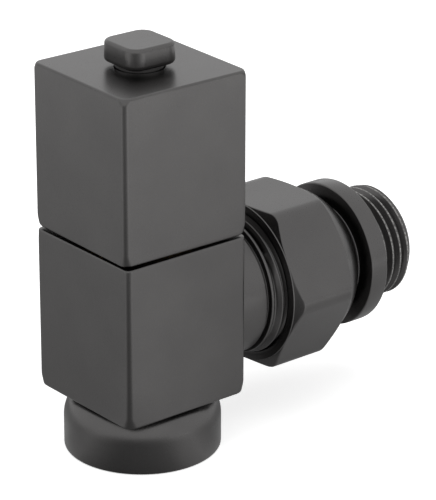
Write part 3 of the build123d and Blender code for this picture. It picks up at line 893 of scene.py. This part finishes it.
mesh = bmesh.new()
rings = turned_rings(
    soften([
        (tail_thread_end, tail_root, 0),
        (tail_high.x, tail_root - 0.25, 0.12),
        (tail_high.x, key_rim, 0),
    ]),
    about_outlet,
    tail_angles,
)
rings += [key_ring(tail_high.x), key_ring(key_floor)]
rings += turned_rings(
    soften([
        (key_floor, tail_bore + 0.05, 0),
        (key_floor, tail_bore, 0.05),
        (tail_low.x, tail_bore, 0.2),
        (tail_low.x, nose_radius, 0.4),
        (nose_groove_near, nose_radius, 0.08),
        (nose_groove_near, nose_groove, 0.08),
        (nose_groove_far, nose_groove, 0.08),
        (nose_groove_far, nose_radius, 0.08),
        (clip_groove_near, nose_radius, 0.08),
        (clip_groove_near, clip_groove, 0.05),
        (clip_groove_far, clip_groove, 0.05),
        (clip_groove_far, neck_radius, 0.08),
        (flange_near, neck_radius, 0.25),
        (flange_near, flange_radius, 0.3),
        (flange_far, flange_radius, 0.35),
        (flange_far, end_groove, 0.1),
        (tail_thread_start - 0.05, end_groove, 0.05),
        (tail_thread_start, tail_root, 0),
    ]),
    about_outlet,
    tail_angles,
)
skin(mesh, rings)
thread(
    mesh, about_outlet, tail_thread_start, tail_thread_end, half_inch, tail_angles,
    turn=radians(-8), run_in=0.35, run_out=0.5, notch=notch_depth,
)
tail = finish_mesh(mesh, "union_tail")
worn_anthracite = grained("worn_anthracite", **anthracite_look)
wear_crests(worn_anthracite, tail_thread_start, half_inch, bare_metal)
dress(tail, "tailpiece", "tail", worn_anthracite)

# Round nut under the body, with a wide shoulder and a cone for the olive
inlet_bore = half_inch + thread_clearance
shoulder_high = 4.6
shoulder_wide = inlet_nut_radius - inlet_bore - 0.15
shoulder_foot = inlet_nut_top - shoulder_high
shoulder_steps = 24
nut_floor = inlet_nut_bottom + 1.55
nut_pipe_hole = 7.7
cone_small = 8.03
cone_large = 9.1
olive_land = 0.8
cone_foot = olive_low.z + (olive_high.z - olive_low.z - olive_land) / 2
shoulder = []
for number in range(shoulder_steps + 1):
    angle = pi / 2 * (1 - number / shoulder_steps)
    shoulder.append(Vector((
        shoulder_foot + shoulder_high * sin(angle),
        inlet_nut_radius - shoulder_wide + shoulder_wide * cos(angle),
    )))
profile = shoulder + soften([
    (shoulder_foot - 0.1, inlet_nut_radius, 0),
    (inlet_nut_bottom, inlet_nut_radius, 0.5),
    (inlet_nut_bottom, nut_pipe_hole, 0.2),
    (nut_floor, nut_pipe_hole, 0.1),
    (nut_floor, cone_small, 0.05),
    (cone_foot, cone_large, 0.05),
    (cone_foot, inlet_bore, 0.05),
    (inlet_nut_top, inlet_bore, 0),
])
mesh = bmesh.new()
skin(mesh, turned_rings(profile, about_spindle, circle_angles(320)), closed=True)
round_nut = finish_mesh(mesh, "round_nut")

# Two blind holes in its underside, for a pin spanner
hole_circle = (inlet_bore + inlet_nut_radius) / 2
hole_radius = 1.1
hole_depth = 2.5
hole_chamfer = 0.25
hole_levels = ((-over, hole_chamfer), (0.0, hole_chamfer), (hole_chamfer, 0.0), (hole_depth, 0.0))
hole_outline = [
    Vector((hole_radius * cos(angle), hole_radius * sin(angle))) for angle in circle_angles(48)
]
pins = []
for side in (-1, 1):
    rings = []
    for height, growth in hole_levels:
        widening = 1 + growth / hole_radius
        rings.append([
            Vector((
                side * hole_circle + point.x * widening, point.y * widening, inlet_nut_bottom + height
            ))
            for point in hole_outline
        ])
    mesh = bmesh.new()
    skin(mesh, rings, caps=(0, -1))
    pins.append(("DIFFERENCE", finish_mesh(mesh, "spanner_pin")))
round_nut = carve(round_nut, "round_inlet_nut", pins)
dress(round_nut, "inlet_nut", "inlet_nut", anthracite)

# Studio: a white floor and backdrop in a graded room, with a soft panel behind the valve,
# a soft window at the right front and less light from the front. The two sides are level directions
front_side = Vector((-0.635, -0.7725, 0.0))
right_side = Vector((0.7725, -0.635, 0.0))
white_colour = (1, 1, 1, 1)


def add_share(nodes, links, vector, side):
    """How far a direction points to one side, from -1 to 1."""
    flat = nodes.new("ShaderNodeVectorMath")
    flat.operation = "NORMALIZE"
    links.new(vector, flat.inputs[0])
    dot = nodes.new("ShaderNodeVectorMath")
    dot.operation = "DOT_PRODUCT"
    links.new(flat.outputs["Vector"], dot.inputs[0])
    dot.inputs[1].default_value = side
    return dot.outputs["Value"]


def add_levels(nodes, links, value, stops):
    """A level that follows rising stops of (value, level)."""
    low = stops[0][0]
    high = stops[-1][0]
    ramp = nodes.new("ShaderNodeValToRGB")
    marks = ramp.color_ramp.elements
    for number, (place, level) in enumerate((stops[0], stops[-1]) + stops[1:-1]):
        position = (place - low) / (high - low)
        mark = marks[number] if number < 2 else marks.new(position)
        mark.position = position
        mark.color = (level, level, level, 1)
    links.new(add_spread(nodes, links, value, low, high), ramp.inputs["Fac"])
    return ramp.outputs["Color"]


# The floor: white paper to the camera and through glass, and to the rest paper with painted light and shade
# at graded levels, which metal mirrors.
# Levels go from back to front, from left to right, and outwards in metres: painted shade near the valve,
# straight in front, straight behind, to the left and far out, and painted pools of light at the front right
# and from 0.22 to 0.35 metres out
floor_half = 1.0
floor_cells = 24
paper_shades = ((0.84, 0.84, 0.84, 1), (0.88, 0.88, 0.88, 1))
paper_cloud = 6
paper_roughness = 0.85
white_glow = 0.65
painted_reflection_glow = 0.32
front_painted_light_stops = (
    (-1.0, 0.35), (-0.7, 0.5), (-0.4, 0.85), (-0.1, 1.0), (0.05, 0.95), (0.3, 1.1), (0.5, 1.25),
    (0.75, 0.8), (0.9, 0.5), (1.0, 0.42),
)
side_painted_light_stops = ((-1.0, 0.74), (-0.3, 0.74), (0.3, 1.0), (0.65, 1.25), (0.9, 0.95), (1.0, 0.84))
far_painted_light_stops = (
    (0.0, 0.74), (0.04, 0.74), (0.1, 0.85), (0.14, 0.91), (0.18, 0.98), (0.22, 1.45), (0.35, 1.6),
    (0.5, 0.3), (1.0, 0.25),
)
mesh = bmesh.new()
bmesh.ops.create_grid(mesh, x_segments=floor_cells, y_segments=floor_cells, size=floor_half)
floor_mesh = bpy.data.meshes.new("floor")
mesh.to_mesh(floor_mesh)
mesh.free()
floor = bpy.data.objects.new("floor", floor_mesh)
scene.collection.objects.link(floor)
floor.location = (0, 0, (inlet_nut_bottom - fitted) * MM)
floor_material, nodes, links, shader = new_material("floor")
place = nodes.new("ShaderNodeTexCoord")
clouds = add_noise(nodes, links, place, paper_cloud, grain_detail)
paper = nodes.new("ShaderNodeValToRGB")
for mark, colour in zip(paper.color_ramp.elements, paper_shades):
    mark.color = colour
links.new(clouds.outputs["Fac"], paper.inputs["Fac"])
rays = nodes.new("ShaderNodeLightPath")
spot = place.outputs["Object"]
reach = nodes.new("ShaderNodeVectorMath")
reach.operation = "LENGTH"
links.new(spot, reach.inputs[0])
# Painted light and shade on the paper: these graded levels darken or brighten its colour for every ray
# except camera and glass rays
front = add_levels(nodes, links, add_share(nodes, links, spot, front_side), front_painted_light_stops)
beside = add_levels(nodes, links, add_share(nodes, links, spot, right_side), side_painted_light_stops)
shade = add_math(nodes, links, "MULTIPLY", front, beside)
far = add_levels(nodes, links, reach.outputs["Value"], far_painted_light_stops)
shade = add_math(nodes, links, "MULTIPLY", shade, far)
seen = add_math(nodes, links, "MAXIMUM", rays.outputs["Is Camera Ray"], rays.outputs["Is Transmission Ray"])
light = add_math(nodes, links, "MAXIMUM", seen, shade)
tint = nodes.new("ShaderNodeMix")
tint.data_type = "RGBA"
tint.blend_type = "MULTIPLY"
tint.inputs["Factor"].default_value = 1.0
links.new(paper.outputs["Color"], tint.inputs["A"])
links.new(light, tint.inputs["B"])
links.new(tint.outputs["Result"], shader.inputs["Base Color"])
shader.inputs["Roughness"].default_value = paper_roughness
shader.inputs["Specular IOR Level"].default_value = 0.0
shader.inputs["Emission Color"].default_value = white_colour
# Painted reflection light: to glossy rays the paper also glows at the same graded levels, though it is no
# lamp
painted_reflection_light = add_math(nodes, links, "MULTIPLY", rays.outputs["Is Glossy Ray"], shade)
painted_reflection_light = add_math(nodes, links, "MULTIPLY", painted_reflection_light, painted_reflection_glow)
glow = add_math(nodes, links, "MULTIPLY", seen, white_glow)
links.new(add_math(nodes, links, "ADD", glow, painted_reflection_light), shader.inputs["Emission Strength"])
floor.data.materials.append(floor_material)

# The world: white to the camera, to metal and through glass, and the graded room as light.
# Heights go from straight down to straight up
height_stops = (
    (-1.0, 0.4), (-0.1, 0.6), (0.05, 0.7), (0.2, 1.0), (0.82, 1.0), (0.92, 0.6), (1.0, 0.3)
)
around_stops = (
    (-1.0, 0.15), (-0.6, 0.15), (-0.25, 0.4), (-0.05, 0.85), (0.1, 1.0), (0.25, 1.0), (0.65, 0.5),
    (1.0, 0.3),
)
panel_stops = ((-1.0, 1.35), (-0.89, 1.35), (-0.83, 0.1), (-0.76, 0.0), (1.0, 0.0))
panel_heights = ((-1.0, 0.0), (0.05, 0.0), (0.25, 1.0), (1.0, 1.0))
window_stops = ((-1.0, 0.0), (0.4, 0.0), (0.55, 1.2), (0.8, 1.2), (0.92, 0.0), (1.0, 0.0))
window_heights = ((-1.0, 0.0), (-0.05, 0.0), (0.0, 1.0), (0.25, 1.0), (0.4, 0.0), (1.0, 0.0))
world = bpy.data.worlds.new("studio")
scene.world = world
world.use_nodes = True
nodes = world.node_tree.nodes
links = world.node_tree.links
nodes.clear()
rays = nodes.new("ShaderNodeLightPath")
direction = nodes.new("ShaderNodeTexCoord").outputs["Generated"]
parts = nodes.new("ShaderNodeSeparateXYZ")
links.new(direction, parts.inputs[0])
height = parts.outputs["Z"]
frontward = add_share(nodes, links, direction, front_side)
rightward = add_share(nodes, links, direction, right_side)
lights = []
for level_stops, heights, share in (
    (around_stops, height_stops, frontward),
    (window_stops, window_heights, rightward),
    (panel_stops, panel_heights, frontward),
):
    across = add_levels(nodes, links, share, level_stops)
    upward = add_levels(nodes, links, height, heights)
    lights.append(add_math(nodes, links, "MULTIPLY", upward, across))
room, window, panel = lights
room = add_math(nodes, links, "ADD", room, window)
room = add_math(nodes, links, "ADD", room, panel)
around = nodes.new("ShaderNodeBackground")
around.inputs["Color"].default_value = white_colour
links.new(room, around.inputs["Strength"])
white = nodes.new("ShaderNodeBackground")
white.inputs["Color"].default_value = white_colour
choice = nodes.new("ShaderNodeMixShader")
seen = add_math(nodes, links, "MAXIMUM", rays.outputs["Is Camera Ray"], rays.outputs["Is Transmission Ray"])
seen = add_math(nodes, links, "MAXIMUM", seen, rays.outputs["Is Glossy Ray"])
links.new(seen, choice.inputs["Fac"])
links.new(around.outputs[0], choice.inputs[1])
links.new(white.outputs[0], choice.inputs[2])
output = nodes.new("ShaderNodeOutputWorld")
links.new(choice.outputs[0], output.inputs["Surface"])

# Soft lamp overhead, which metal doesn't mirror
lamp_size = 0.9
lamp_power = 3.5
lamp_height = 0.8
lamp_data = bpy.data.lights.new("overhead", "AREA")
lamp_data.shape = "DISK"
lamp_data.size = lamp_size
lamp_data.energy = lamp_power
lamp = bpy.data.objects.new("overhead", lamp_data)
lamp.location = (0.0, 0.0, lamp_height)
lamp.visible_glossy = False
scene.collection.objects.link(lamp)

# Camera, from the photograph's own perspective
lens = 207.15
azimuth = radians(-39.43)
elevation = radians(22.28)
roll = radians(0.15)
distance = 504.0
target = Vector((10.37, -8.58, 26.60))
camera_data = bpy.data.cameras.new("camera")
camera_data.lens = lens
camera_data.clip_start = 0.01
camera = bpy.data.objects.new("camera", camera_data)
back = Vector((sin(azimuth) * cos(elevation), -cos(azimuth) * cos(elevation), sin(elevation)))
level_right = Vector((cos(azimuth), sin(azimuth), 0))
level_up = back.cross(level_right)
right = level_right * cos(roll) + level_up * sin(roll)
up = back.cross(right)
turn = Matrix((right, up, back)).transposed().to_4x4()
camera.matrix_world = Matrix.Translation((target + back * distance) * MM) @ turn
scene.collection.objects.link(camera)
scene.camera = camera
scene.view_settings.view_transform = "Standard"
